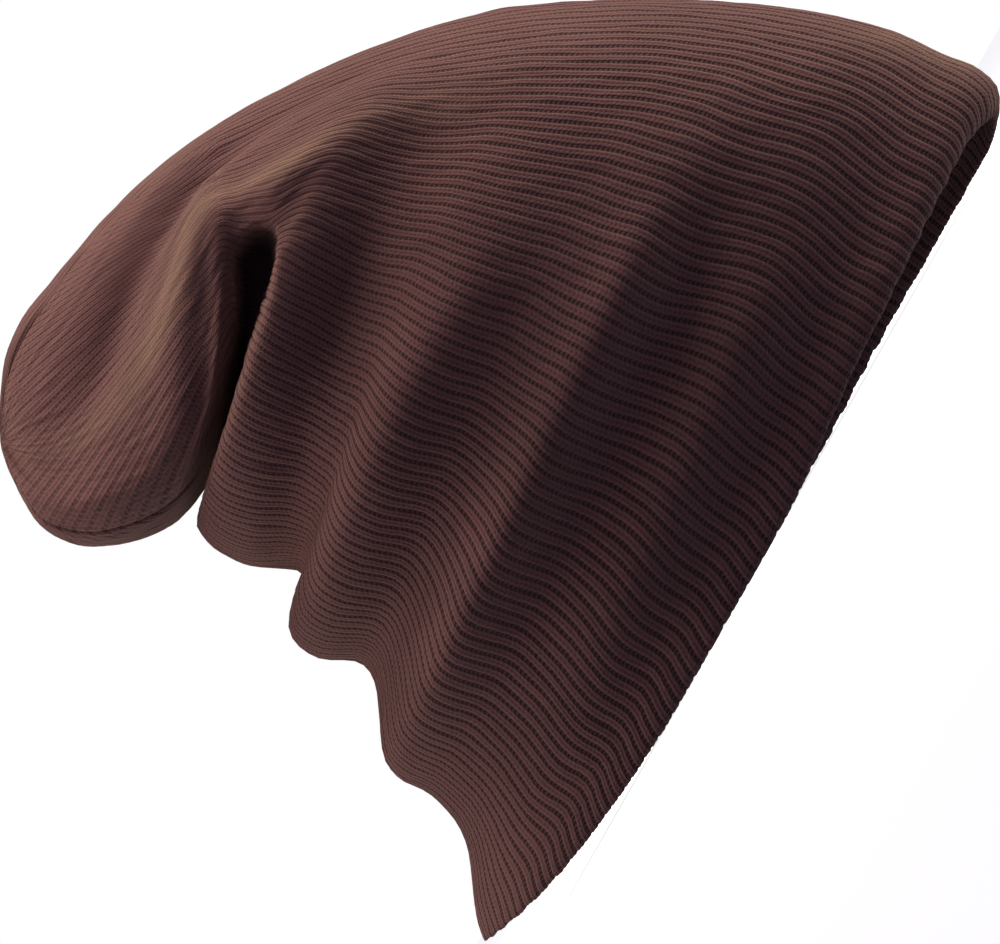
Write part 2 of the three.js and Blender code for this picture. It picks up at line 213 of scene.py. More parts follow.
# The outer layer's mesh: columns to a rib, rows of cloth as start, end and step, and the last
# rows. Its relief is gone at the first cloth and full at the second, follows the ribs' pitch
# between two limits, and stands about a level of the ribs' height
OUTER = {
    "columns": 4, "rows": ((2.4, 112, 2.4), (112, 200, 1.75), (200, 258, 2.3)),
    "last": (258.8, CLOTH_LENGTH), "relief_ends": (192, 170), "pitches": (0.2, 1.1),
    "level": 0.6,
}
# The rolled rim: steps of its half turn, the cloth that the turn takes and how round it is, and
# the rows of the hem inside it
ROLL = {"steps": 8, "cloth": 2.4, "round": 0.8, "hem": (4.6, 7.0, 9.6)}
# The inner layer's mesh, in the same way. Its relief is a share of the outer layer's
INNER = {
    "columns": 2, "first": (11.0, 12.0, 13.2),
    "rows": ((16, 124, 4), (124, 200, 3), (200, 256, 4)), "last": (CLOTH_LENGTH,),
    "relief": 0.6, "relief_ends": (200, 170), "pitches": (0.2, 1), "level": 0.5,
}
# It lies this much further in than the cloth's thickness, by cloth: close to the hem, free above
INNER_EASE = ((11, 12, 13.2, 30, 120), (-0.8, -0.4, 0.0, 0.1, 0.8))
# Inside, the folds are lower and the pocket wider, by ribs and cloth, and its cloth is evened out
INNER_FOLDS = {"share": 0.8, "wider": 3.0, "evened": 6, "above": 100}
# Doubled points closer than this are one
MERGE = 0.003 * MM

# The knit's material: how far apart its uneven loops, fibres and clouds of tone are, in
# millimetres, and the depth of its bump
KNIT_SIZES = {"loops": 2.381, "fibres": 0.3846, "clouds": 26.316}
BUMP = 0.3 * MM
# Shares: how far loops stray in ribs and courses, how far a stitch's legs lean, the height of
# the bars in the valleys, of a stitch's loops and of fibres, the unevenness of tone and grain,
# the valleys' painted shade kept on drawn ribs, the dark of seams, how far the painted
# highlight on lit crests hides the ribs, and the loose specks
KNIT = {
    "rib_stray": 0.12, "course_stray": 0.7, "lean": 0.55, "bars": 0.42, "loops": 0.12,
    "fibres": 0.35, "tone": 0.12, "grain": 0.24, "drawn": 0.5, "seam": 0.7, "painted_highlight": 0.75,
    "specks": 0.16,
}
# The pale gleam of the loose fibres
SHEEN = "#C8A491"

# Studio lamps: name, angle over the hat from its front, angle towards the near side, watts
LAMPS = [
    ("Front lamp", 8, -21, 20.5),
    ("Top lamp", 72, -4, 22),
    ("Back lamp", 132, 10, 9.5),
    ("Low back lamp", 176, 11, 5.5),
]
# Their distance and width in metres and their light, the backdrop's weak cool fill, and the floor
LAMP = {"distance": 1.5, "size": 1.3, "colour": (1.0, 0.935, 0.79)}
FILL = {"colour": (0.97, 0.85, 1.4, 1), "strength": 0.08}
FLOOR = {"size": 6.0, "glow": 0.85}

# The view, in metres: the point looked at, the camera's distance and height, the way up in the
# picture and the width that the picture takes in
VIEW = {
    "middle": (-0.0178, 0.0, 0.0573), "distance": 4.0, "height": 0.020,
    "up": (0.8686, 0.0, 0.4955), "width": 0.212, "sensor": 36,
}


def smooth(low, high, value):
    """Rises softly from 0 at the low value to 1 at the high one."""
    share = np.clip((value - low) / (high - low), 0, 1)
    return share * share * (3 - 2 * share)


def with_cloth(line):
    """Gives the front line its cloth lengths, by its own length."""
    points = np.array(line, float)
    steps = np.hypot(*np.diff(points, axis=0).T)
    length = np.concatenate([[0], np.cumsum(steps)])
    return np.column_stack([length * CLOTH_LENGTH / length[-1], points])


def curve(table, column, cloth):
    """A smooth curve through the rows of a table, by cloth."""
    at, value = table[:, 0], table[:, column]
    step = np.diff(at)
    slope = np.diff(value) / step
    tangent = np.empty_like(value)
    tangent[1:-1] = (slope[:-1] * step[1:] + slope[1:] * step[:-1]) / (step[:-1] + step[1:])
    tangent[0], tangent[-1] = slope[0], slope[-1]
    cloth = np.clip(cloth, at[0], at[-1])
    k = np.clip(np.searchsorted(at, cloth, side="right") - 1, 0, len(at) - 2)
    s = (cloth - at[k]) / step[k]
    return (
        (2 * s**3 - 3 * s**2 + 1) * value[k]
        + (s**3 - 2 * s**2 + s) * step[k] * tangent[k]
        + (3 * s**2 - 2 * s**3) * value[k + 1]
        + (s**3 - s**2) * step[k] * tangent[k + 1]
    )


FRONT_ROWS = with_cloth(FRONT_LINE)
SIDE_ROWS = np.array(SIDE_LINE, float)
BACK_ROWS = np.array(BACK_LINE, float)


def ring(cloth, angle):
    """Points of the near half of the rings round the three guide lines."""
    fx, fz = curve(FRONT_ROWS, 1, cloth), curve(FRONT_ROWS, 2, cloth)
    mx, mz = curve(SIDE_ROWS, 1, cloth), curve(SIDE_ROWS, 2, cloth)
    bx, bz = curve(BACK_ROWS, 1, cloth), curve(BACK_ROWS, 2, cloth)
    wide, bulge = curve(SIDE_ROWS, 3, cloth), curve(SIDE_ROWS, 4, cloth)
    c = np.cos(angle)
    lean = c - RING["lean"] * (1 - c * c)
    reach = np.sqrt((lean**2 + RING["turn"] ** 2) / (1 + RING["turn"] ** 2))
    to_front, to_back = (lean + reach) / 2, (reach - lean) / 2
    backward = np.clip((1 - c) / 2, 0, 1)
    power = 1 + RING_BACK["pointed"] * smooth(*RING_BACK["low"], cloth) * backward**2
    power = power - RING_BACK["fuller"] * smooth(*RING_BACK["lobe"], cloth) * backward
    sine = np.maximum(np.sin(angle), 0)
    x = to_front * fx + to_back * bx + (1 - reach) * mx
    z = to_front * fz + to_back * bz + (1 - reach) * mz
    return x, wide * sine**power + bulge * np.sin(2 * angle), z


def fold_height(rib, cloth, scale=1.0, table=FOLDS):
    """The height of all folds of a table at a rib and cloth, in millimetres."""
    height = np.zeros(np.broadcast(rib, cloth).shape)
    for rib0, cloth0, rib1, cloth1, width, rise in table.values():
        across, along = (rib1 - rib0) * FOLD_RIB_WIDTH, cloth1 - cloth0
        length = math.hypot(across, along)
        dx, dy = (rib - rib0) * FOLD_RIB_WIDTH, cloth - cloth0
        way = (dx * across + dy * along) / length
        end = (way - np.clip(way, 0, length)) / (FOLD_END_SPREAD * width)
        off = (dy * across - dx * along) / length
        height += scale * rise * np.exp(-((off / width) ** 2) - end**2)
    return height


def pocket_depth(rib, cloth, wider=0.0):
    """How deep the pocket under the lobe is at a rib and cloth, in millimetres."""
    lip = POCKET_LIP["rib"] - wider
    lip = lip + POCKET_LIP["rise"] * ((cloth - POCKET_LIP["middle"]) / POCKET_LIP["spread"]) ** 2
    below = smooth(lip + POCKET_LIP["soft"][0], lip + POCKET_LIP["soft"][1], rib)
    turned = []
    for turns in (POCKET_TURNS, POCKET_BACK_TURNS):
        turn_in = smooth(turns["in"][0] - wider, turns["in"][1] - wider, cloth)
        turn_out = smooth(turns["out"][0] + wider, turns["out"][1] + wider, cloth)
        turned.append(turn_in - turn_out)
    behind = smooth(*POCKET_BEHIND, rib)
    to_back = smooth(POCKET_DEPTH["from_rib"], HALF_RIBS, rib)
    depth = POCKET_DEPTH["side"] + (POCKET_DEPTH["back"] - POCKET_DEPTH["side"]) * to_back
    return depth * below * (turned[0] + (turned[1] - turned[0]) * behind)


def rim_lift(angle, near):
    """How far the rim stands off the floor at an angle from its front tip."""
    c = np.cos(angle)
    start, steep = RISE["nape"]
    nape = LIFT["nape"] * np.clip((-c - start) / (1 - start), 0, 1) ** steep
    tip = LIFT["tip"] * np.clip((1 + c) / 2, 0, 1) ** RISE["tip"]
    near_arch = LIFT["near"] * sum(share * smooth(*span, c) for share, span in RISE["near"])
    far_arch = LIFT["far"] * smooth(*RISE["far"], c)
    away = smooth(0, TIP_ANGLE, angle)
    arch = np.where(near, near_arch, far_arch)
    return nape + tip * (1 - away) * np.clip(2 * c, 0, 1) + arch * away


def rib_angles(cloth, half):
    """The angle at which each rib crosses its ring, and half the ring's length."""
    steps = np.linspace(0, math.pi, RING_STEPS)[None, :]
    x, y, z = ring(np.repeat(cloth, RING_STEPS, 1), np.repeat(steps, len(cloth), 0))
    lengths = np.sqrt(np.diff(x) ** 2 + np.diff(y) ** 2 + np.diff(z) ** 2)
    lengths = np.concatenate([np.zeros((len(cloth), 1)), np.cumsum(lengths, 1)], 1)
    total = np.maximum(lengths[:, -1:], TINY)
    angle = np.empty(half.shape)
    for row in range(len(cloth)):
        angle[row] = np.interp(half[row] / HALF_RIBS, lengths[row] / total[row], steps[0])
    return angle, total


def cloth_points(cloth, rib, fold_scale=1.0, pocket_wider=0.0):
    """The outer face at each row's cloth length and rib, in millimetres, and the rib pitch."""
    cloth = np.asarray(cloth, float)[:, None]
    rib = np.mod(rib, RIB_COUNT)
    near = rib <= HALF_RIBS
    half = np.where(near, rib, RIB_COUNT - rib)
    angle, total = rib_angles(cloth, half)
    column = np.repeat(cloth, half.shape[1], 1)
    x, y, z = ring(column, angle)
    ex = (curve(FRONT_ROWS, 1, cloth) - curve(BACK_ROWS, 1, cloth)) / 2
    ez = (curve(FRONT_ROWS, 2, cloth) - curve(BACK_ROWS, 2, cloth)) / 2
    span = np.hypot(ex, ez) + TINY
    wide = np.maximum(curve(SIDE_ROWS, 3, cloth), 1)
    along, out = np.cos(angle) * wide, np.sin(angle) * span
    size = np.hypot(along, out)
    far = np.where(near, 0, smooth(0, FAR_BLEND, np.minimum(half, HALF_RIBS - half)))
    height = (1 - (1 - FAR_FOLDS) * far) * fold_height(half, column, fold_scale)
    sunk = (1 - (1 - POCKET_DEPTH["far"]) * far) * pocket_depth(half, column, pocket_wider)
    shown = smooth(*FOLDS_GROW, column) * smooth(CLOTH_LENGTH, FOLDS_FADE, column) / size
    # At the side the pocket goes straight in, and toward the back it follows the ring's normal
    level = shown * (height - sunk * smooth(*POCKET_SWINGS, half)) * along
    x = x + level * ex / span
    z = z + level * ez / span + rim_lift(angle, near) * np.exp(-column / LIFT["fade"])
    y = np.where(near, -1, 1) * (y + shown * (height - sunk) * out)
    return np.stack([x, y, z], -1), 2 * total / RIB_COUNT


def outward(points):
    """Unit normals of a grid of rows and columns whose columns run round the hat."""
    ahead, behind = np.roll(points, -1, 1), np.roll(points, 1, 1)
    normal = np.cross(np.gradient(points, axis=0), ahead - behind)
    return normal / np.maximum(np.linalg.norm(normal, axis=-1, keepdims=True), TINY)


def rib_slide(cloth, rib):
    """How far each rib slides toward the back at each height, in ribs."""
    table = np.array(RIB_SLIDE, float)
    half = np.minimum(rib, RIB_COUNT - rib)
    total = np.zeros(np.broadcast(cloth, rib).shape)
    for column in range(1, table.shape[1]):
        off = (half - SLIDE_STEP * column) / (SLIDE_SPREAD * SLIDE_STEP)
        total = total + curve(table, column, cloth) * np.exp(-(off**2))
    total *= smooth(0, SLIDE_EDGE, half) * smooth(HALF_RIBS, HALF_RIBS - SLIDE_EDGE, half)
    return np.where(rib <= HALF_RIBS, total, -total)


def waver(cloth, rib, seed, size):
    """A slow even waver over the cloth: the sum of a few seeded waves."""
    rng = np.random.default_rng(seed)
    total = np.zeros(np.broadcast(cloth, rib).shape)
    for _ in range(WAVES["count"]):
        turns = rng.integers(*WAVES["turns"])
        wave = rng.uniform(-WAVES["lean"], WAVES["lean"])
        phase = rng.uniform(0, 2 * math.pi)
        total += np.sin(2 * math.pi * turns * rib / RIB_COUNT + wave * cloth + phase)
    return size * total / math.sqrt(WAVES["count"] / 2)


def knit_patterns(points, cloth, rib):
    """For each panel of the crown, which rib shows at a place and how far along it, in mm."""
    x, z = points[..., 0] - CROWN["x"], points[..., 2] - CROWN["z"]
    lean = np.degrees(np.arctan2(-x, z))
    table = np.array(FAN, float)
    fan = curve(table, 1, lean)
    full = smooth(CROWN["begins"], CROWN["full"], cloth)
    along = (1 - full) * cloth + full * (CROWN["centre"] + np.hypot(x, z))
    closed = np.clip((cloth - CROWN["full"]) / (CLOTH_LENGTH - CROWN["full"]), 0, 1)
    drawn = 1 - CROWN["drawn"] * closed
    near = (1 - full) * rib + full * fan
    far = (1 - full) * rib + full * (RIB_COUNT - fan)
    under = HALF_RIBS + (rib - HALF_RIBS) * drawn
    top = np.broadcast_to(rib, near.shape)
    level = np.broadcast_to(cloth, near.shape)
    # In the order round the hat from the front: top, near side, under the lobe, far side, top
    return [(top, level), (near, along), (under, level), (far, along), (top, level)]


def rib_profile(rib):
    """Height of the knit over one rib, from 0 in its valley to 1 on its two ridges."""
    return np.interp(np.abs(rib - np.round(rib)) * 2, *RIB_PROFILE)


def roll_rim(points, angle, inset):
    """Rolls the rows that have an angle in under the rim, and gives every row's normals."""
    first = np.count_nonzero(angle)
    normal = np.empty_like(points)
    normal[first:] = outward(points[first:])
    level = normal[first].copy()
    level[:, 2] = 0
    level /= np.linalg.norm(level, axis=-1, keepdims=True)
    down = np.cross(level, np.roll(points[first], -1, 0) - np.roll(points[first], 1, 0))
    down *= -np.sign(down[:, 2:]) / np.linalg.norm(down, axis=-1, keepdims=True)
    for row in range(first):
        normal[row] = math.cos(angle[row]) * level + math.sin(angle[row]) * down
        points[row] -= level * inset[row]
    return normal


def crown_seams(cloth, ribs, pitch):
    """How far each place lies in one of the crown's seams, from 0 to 1."""
    seams = np.zeros((len(cloth), ribs.shape[1]))
    for seam, start in zip(CROWN["seams"], CROWN["seam_starts"]):
        off = np.abs(ribs - seam) * pitch
        begun = smooth(start, start + SEAM["start"], cloth)[:, None]
        seams += np.exp(-((off / SEAM["width"]) ** 2)) * begun
    return np.minimum(seams, 1) * smooth(CLOTH_LENGTH, SEAM["end"], cloth)[:, None]


def rib_relief(layer, cloth, ribs, pitch):
    """The ribs' height over a layer's middle level: full low down, smooth on the crown."""
    height = rib_profile(np.repeat(ribs, len(cloth), 0)) - layer["level"]
    shown = smooth(*layer["relief_ends"], cloth)[:, None]
    return height * (shown * np.clip(pitch / RIB_PITCH, *layer["pitches"]))


def mesh_rows(first, spans, last):
    """The cloth of a mesh's rows: the first ones, even steps over each span and the last."""
    return np.concatenate([first, *(np.arange(*span) for span in spans), last])


def new_object(name, bm):
    """Makes a smooth object of a bmesh, in the scene."""
    mesh = bpy.data.meshes.new(name)
    bm.to_mesh(mesh)
    bm.free()
    mesh.shade_smooth()
    obj = bpy.data.objects.new(name, mesh)
    bpy.context.scene.collection.objects.link(obj)
    return obj


def grid_mesh(points, cloth, extra):
    """A cloth tube from a bmesh grid: its rows and columns are moved to the points given."""
    rows, columns = points.shape[:2]
    bm = bmesh.new()
    bmesh.ops.create_grid(bm, x_segments=columns, y_segments=rows - 1, size=1.0)
    uv = bm.loops.layers.uv.new("Knit")
    layers = {key: bm.verts.layers.float.new(key) for key in extra}
    place = {}
    for vert in bm.verts:
        c = round((vert.co.x + 1) / 2 * columns)
        r = round((vert.co.y + 1) / 2 * (rows - 1))
        place[vert] = (r, c)
    for vert, (r, c) in place.items():
        vert.co = points[r, c % columns] * MM
        for key, layer in layers.items():
            vert[layer] = extra[key][r, c % columns]
    ribs = np.arange(columns + 1)[None, :] * RIB_COUNT / columns
    closed = np.concatenate([points, points[:, :1]], 1)
    patterns = knit_patterns(closed, cloth[:, None], ribs)
    for face in bm.faces:
        spots = [place[loop.vert] for loop in face.loops]
        middle = sum(c for _, c in spots) / 4 * RIB_COUNT / columns
        across, along = patterns[sum(middle >= seam for seam in CROWN["seams"])]
        for loop, (r, c) in zip(face.loops, spots):
            loop[uv].uv = (across[r, c], along[r, c])
    bmesh.ops.remove_doubles(bm, verts=bm.verts, dist=MERGE)
    bmesh.ops.recalc_face_normals(bm, faces=bm.faces)
    return bm


def linear(colour):
    """An sRGB hex colour as the linear values that Blender's sockets take."""
    parts = [int(colour[k : k + 2], 16) / 255 for k in (1, 3, 5)]
    return [p / 12.92 if p <= 0.04045 else ((p + 0.055) / 1.055) ** 2.4 for p in parts]


def add_node(tree, kind, links=None, stops=(), **settings):
    """Adds a node. A link's value is a node, a pair of a node and its output, or a plain value.

    A colour ramp's stops are pairs of a place and a grey value.
    """
    node = tree.nodes.new(kind)
    for key, value in settings.items():
        setattr(node, key, value)
    for socket, value in (links or {}).items():
        if isinstance(value, bpy.types.Node):
            value = (value, 0)
        if isinstance(value, tuple) and isinstance(value[0], bpy.types.Node):
            tree.links.new(value[0].outputs[value[1]], node.inputs[socket])
        else:
            node.inputs[socket].default_value = value
    if stops:
        node.color_ramp.interpolation = "EASE"
        while len(node.color_ramp.elements) < len(stops):
            node.color_ramp.elements.new(0.5)
        for element, (place, grey) in zip(node.color_ramp.elements, stops):
            element.position = place
            element.color = (grey, grey, grey, 1)
    return node


class HatSizes(bpy.types.PropertyGroup):
    """The hat's sizes that a user may change"""

    course: bpy.props.FloatProperty(
        name="Course", description="Height of one stitch", default=1.06 * MM, unit="LENGTH"
    )
    relief: bpy.props.FloatProperty(
        name="Rib relief", description="Depth of the valleys between the ribs at the rim",
        default=0.25 * MM, unit="LENGTH",
    )
    hem: bpy.props.FloatProperty(
        name="Hem", description="Height of the turned-up hem", default=12.5 * MM, unit="LENGTH"
    )
    thickness: bpy.props.FloatProperty(
        name="Thickness", description="Thickness of the doubled cloth",
        default=3.1 * MM, unit="LENGTH",
    )


class HatColours(bpy.types.PropertyGroup):
    """The hat's colours, as sRGB hex values"""

    ridge: bpy.props.StringProperty(
        name="Ridge", description="Yarn on the ridges", default="#7A5354"
    )
    valley: bpy.props.StringProperty(
        name="Valley", description="Shaded yarn between the ribs", default="#1E0F16"
    )
    # Fluff colour: the loose fibres' specks, and the painted highlight on lit crests
    fluff_and_highlight: bpy.props.StringProperty(
        name="Fluff", description="Brushed fibres on worn crests", default="#8A6A5E"
    )
    paper: bpy.props.StringProperty(
        name="Floor", description="Studio floor", default="#F4F4F2"
    )


def knit_material(name, colours, course):
    """Fine rib knit of brushed wool blend: matt, with a soft sheen from its loose fibres."""
    material = bpy.data.materials.new(name)
    material.use_nodes = True
    tree = material.node_tree
    tree.nodes.clear()
    uv = add_node(tree, "ShaderNodeUVMap", uv_map="Knit")
    spot = add_node(tree, "ShaderNodeSeparateXYZ", {0: uv})
    pitch = (add_node(tree, "ShaderNodeAttribute", attribute_name="pitch"), "Fac")
    # The painted highlight on lit crests, as a mesh attribute
    painted_highlight = (add_node(tree, "ShaderNodeAttribute", attribute_name="painted_highlight"), "Fac")
    seam = (add_node(tree, "ShaderNodeAttribute", attribute_name="seam"), "Fac")
    place = (add_node(tree, "ShaderNodeTexCoord"), "Object")
    scales = {key: 1 / (size * MM) for key, size in KNIT_SIZES.items()}

    # Loops aren't all alike: the rib and the course waver by a small part of a stitch
    shake = add_node(
        tree, "ShaderNodeTexNoise", {"Vector": place, "Scale": scales["loops"], "Detail": 2}
    )
    shake = add_node(tree, "ShaderNodeSeparateColor", {0: (shake, "Color")})
    rib = add_node(
        tree, "ShaderNodeMath", {0: (shake, 0), 1: KNIT["rib_stray"], 2: (spot, 0)},
        operation="MULTIPLY_ADD",
    )
    rib = add_node(
        tree, "ShaderNodeMath", {0: rib, 1: KNIT["rib_stray"] / 2}, operation="SUBTRACT"
    )
    across = add_node(tree, "ShaderNodeMath", {0: rib, 1: 0.5}, operation="PINGPONG")
    across = add_node(tree, "ShaderNodeMath", {0: across, 1: 2.0}, operation="MULTIPLY")
    profile = add_node(
        tree, "ShaderNodeValToRGB", {0: across},
        stops=[(0.0, 0.0), (0.26, 0.04), (0.48, 0.86), (0.6, 1.0), (0.8, 0.8), (1.0, 0.5)],
    )

    # Each course is one stitch high; the legs of a stitch lean, so it looks like a small V
    count = add_node(
        tree, "ShaderNodeMath", {0: (spot, 1), 1: MM / course}, operation="MULTIPLY"
    )
    lean = add_node(
        tree, "ShaderNodeMath", {0: across, 1: KNIT["lean"], 2: count}, operation="MULTIPLY_ADD"
    )
    lean = add_node(
        tree, "ShaderNodeMath", {0: (shake, 1), 1: KNIT["course_stray"], 2: lean},
        operation="MULTIPLY_ADD",
    )
    stitch = add_node(tree, "ShaderNodeMath", {0: lean, 1: 0.5}, operation="PINGPONG")
    stitch = add_node(tree, "ShaderNodeMath", {0: stitch, 1: 2.0}, operation="MULTIPLY")
    loop = add_node(
        tree, "ShaderNodeValToRGB", {0: stitch},
        stops=[(0.0, 0.0), (0.3, 0.2), (0.65, 0.95), (1.0, 1.0)],
    )

    # Valleys hold a row of holes with a bar of yarn between two of them. Valleys and holes are
    # darkened with painted shade
    bars = add_node(tree, "ShaderNodeMath", {0: 1.0, 1: profile}, operation="SUBTRACT")
    bars = add_node(tree, "ShaderNodeMath", {0: bars, 1: loop}, operation="MULTIPLY")
    body = add_node(
        tree, "ShaderNodeMath", {0: loop, 1: KNIT["loops"], 2: 1 - KNIT["loops"]},
        operation="MULTIPLY_ADD",
    )
    body = add_node(tree, "ShaderNodeMath", {0: body, 1: profile}, operation="MULTIPLY")
    height = add_node(
        tree, "ShaderNodeMath", {0: bars, 1: KNIT["bars"], 2: body}, operation="MULTIPLY_ADD"
    )

    # Fine streaks and light specks of loose wool, in a cloudy tone as brushed cloth has
    fibre = add_node(
        tree, "ShaderNodeTexNoise",
        {"Vector": place, "Scale": scales["fibres"], "Detail": 3, "Roughness": 0.7},
    )
    specks = add_node(
        tree, "ShaderNodeValToRGB", {0: fibre},
        stops=[(0.0, 0.0), (0.52, 0.0), (0.72, 1.0), (1.0, 1.0)],
    )
    cloud = add_node(
        tree, "ShaderNodeTexNoise",
        {"Vector": place, "Scale": scales["clouds"], "Detail": 3, "Roughness": 0.55},
    )
    tone = add_node(
        tree, "ShaderNodeMapRange", {"Value": cloud, "From Min": 0.3, "From Max": 0.7,
                                     "To Min": 1 - KNIT["tone"], "To Max": 1 + KNIT["tone"]},
    )
    grain = add_node(
        tree, "ShaderNodeMapRange", {"Value": fibre, "From Min": 0.3, "From Max": 0.7,
                                     "To Min": 1 - KNIT["grain"], "To Max": 1 + KNIT["grain"]},
    )
    tone = add_node(tree, "ShaderNodeMath", {0: tone, 1: grain}, operation="MULTIPLY")

    # The valleys' painted shade is lighter where ribs are drawn close together on the crown, and
    # under the painted highlight on lit crests
    open_ribs = add_node(
        tree, "ShaderNodeMapRange", {"Value": pitch, "From Min": 0.3, "From Max": 1.0,
                                     "To Min": KNIT["drawn"], "To Max": 1.0},
    )
    dark = add_node(tree, "ShaderNodeMath", {0: 1.0, 1: height}, operation="SUBTRACT")
    dark = add_node(tree, "ShaderNodeMath", {0: dark, 1: open_ribs}, operation="MULTIPLY")
    # Under the painted highlight the valleys' painted shade is paler
    highlight_paling = add_node(
        tree, "ShaderNodeMath", {0: painted_highlight, 1: -KNIT["painted_highlight"], 2: 1.0}, operation="MULTIPLY_ADD"
    )
    dark = add_node(tree, "ShaderNodeMath", {0: dark, 1: highlight_paling}, operation="MULTIPLY")
    dark = add_node(
        tree, "ShaderNodeMath", {0: seam, 1: KNIT["seam"], 2: dark}, operation="MULTIPLY_ADD",
        use_clamp=True,
    )

    # Painted shade: the valley colour darkens the valleys and holes; the seams add their own dark
    yarn = add_node(
        tree, "ShaderNodeMix",
        {"Factor": dark, 6: (*linear(colours.ridge), 1), 7: (*linear(colours.valley), 1)},
        data_type="RGBA",
    )
    # Loose specks, and the painted highlight on lit crests, mix in the fluff colour
    loose = add_node(
        tree, "ShaderNodeMath", {0: specks, 1: KNIT["specks"], 2: painted_highlight},
        operation="MULTIPLY_ADD", use_clamp=True,
    )
    brushed = add_node(
        tree, "ShaderNodeMix",
        {"Factor": loose, 6: (yarn, 2), 7: (*linear(colours.fluff_and_highlight), 1)}, data_type="RGBA",
    )
    colour = add_node(
        tree, "ShaderNodeVectorMath", {0: (brushed, 2), 1: tone}, operation="MULTIPLY"
    )
    tall = add_node(
        tree, "ShaderNodeMath", {0: fibre, 1: KNIT["fibres"], 2: height},
        operation="MULTIPLY_ADD",
    )
    relief = add_node(
        tree, "ShaderNodeBump",
        {"Height": tall, "Distance": BUMP, "Strength": 0.9},
    )
    shader = add_node(
        tree, "ShaderNodeBsdfPrincipled",
        {
            "Base Color": colour,
            "Roughness": 0.95,
            "Specular IOR Level": 0.15,
            "Sheen Weight": 0.6,
            "Sheen Roughness": 0.4,
            "Sheen Tint": (*linear(SHEEN), 1),
            "Normal": relief,
        },
    )
    add_node(tree, "ShaderNodeOutputMaterial", {"Surface": shader})
    return material


class HAT_OT_outer_layer(bpy.types.Operator):
    """Builds the outer layer: the rib knit body with its folds, pocket, lobe and folded rim"""

    bl_idname = "hat.outer_layer"
    bl_label = "Outer layer"

    def execute(self, context):
        sizes = context.scene.hat_sizes
        thick, relief = sizes.thickness / MM, sizes.relief / MM
        columns = OUTER["columns"] * RIB_COUNT
        ribs = np.arange(columns)[None, :] * RIB_COUNT / columns

        # The rows run from the hem's edge round the rolled rim and up the body
        body = mesh_rows((), OUTER["rows"], OUTER["last"])
        turn = np.linspace(math.pi, 0, ROLL["steps"])[:-1]
        under = ROLL["cloth"] * (1 - np.sin(turn) ** ROLL["round"])
        hem = np.array([sizes.hem / MM + 1, *ROLL["hem"][::-1]])
        cloth = np.concatenate([hem, under, body])
        angle = np.concatenate([np.full(len(hem), math.pi), turn, np.zeros(len(body))])
        inset = thick / 2 * (1 - np.cos(angle))

        slide = waver(cloth[:, None], ribs, RIB_WAVER["seed"], RIB_WAVER["size"])
        slide *= smooth(*RIB_WAVER["grows"], cloth)[:, None]
        slide *= smooth(CLOTH_LENGTH, RIB_WAVER["fades"], cloth)[:, None]
        slide += rib_slide(cloth[:, None], ribs)
        points, pitch = cloth_points(cloth, ribs + slide)
        normal = roll_rim(points, angle, inset)

        height = relief * rib_relief(OUTER, cloth, ribs, pitch)
        height += waver(
            cloth[:, None] * LUMPS["cloth"], ribs * LUMPS["ribs"], LUMPS["seed"], LUMPS["size"]
        )
        seams = crown_seams(cloth, ribs, pitch)
        points += normal * (height - SEAM["depth"] * seams)[..., None]
        points[..., 2] = np.maximum(points[..., 2], 0.0)

        half = np.minimum(ribs, RIB_COUNT - ribs)
        # Painted highlight: how much paler in colour the lit crests are made
        painted_highlight = np.clip(fold_height(half, cloth[:, None], table=PAINTED_HIGHLIGHTS), 0, PAINTED_HIGHLIGHT_MOST)
        pitches = np.repeat(pitch / RIB_PITCH, columns, 1)
        cloth_uv = cloth * np.where(angle > math.pi / 2, -1, 1)
        bm = grid_mesh(points, cloth_uv, {"pitch": pitches, "painted_highlight": painted_highlight, "seam": seams})
        piece = new_object("outer_layer_knit", bm)
        piece.data.materials.append(
            knit_material("Brushed fine rib knit", context.scene.hat_colours, sizes.course)
        )
        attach(piece, "root")
        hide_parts("outer_layer")
        return {"FINISHED"}


class HAT_OT_inner_layer(bpy.types.Operator):
    """Builds the inner layer, whose ribbed face shows in the opening"""

    bl_idname = "hat.inner_layer"
    bl_label = "Inner layer"

    def execute(self, context):
        sizes = context.scene.hat_sizes
        thick, relief = sizes.thickness / MM, INNER["relief"] * sizes.relief / MM
        columns = INNER["columns"] * RIB_COUNT
        ribs = np.arange(columns)[None, :] * RIB_COUNT / columns
        cloth = mesh_rows(INNER["first"], INNER["rows"], INNER["last"])
        points, pitch = cloth_points(
            cloth, np.repeat(ribs, len(cloth), 0), INNER_FOLDS["share"], INNER_FOLDS["wider"]
        )
        normal = outward(points)
        depth = thick + np.interp(cloth, *INNER_EASE)
        points = points - normal * depth[:, None, None]
        slack = cloth[:, None, None] > INNER_FOLDS["above"]
        for _ in range(INNER_FOLDS["evened"]):
            around = (np.roll(points, 1, 1) + np.roll(points, -1, 1)) / 2
            points = np.where(slack, (points + around) / 2, points)
        points -= normal * (relief * rib_relief(INNER, cloth, ribs, pitch))[..., None]
        points[-1] = points[-2].mean(0)
        plain = np.zeros(points.shape[:2])
        pitches = np.repeat(pitch / RIB_PITCH, columns, 1)
        bm = grid_mesh(points, cloth, {"pitch": pitches, "painted_highlight": plain, "seam": plain})
        piece = new_object("inner_layer_knit", bm)
        piece.data.materials.append(
            knit_material("Plain fine rib knit", context.scene.hat_colours, sizes.course)
        )
        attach(piece, "root")
        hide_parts("inner_layer")
        return {"FINISHED"}


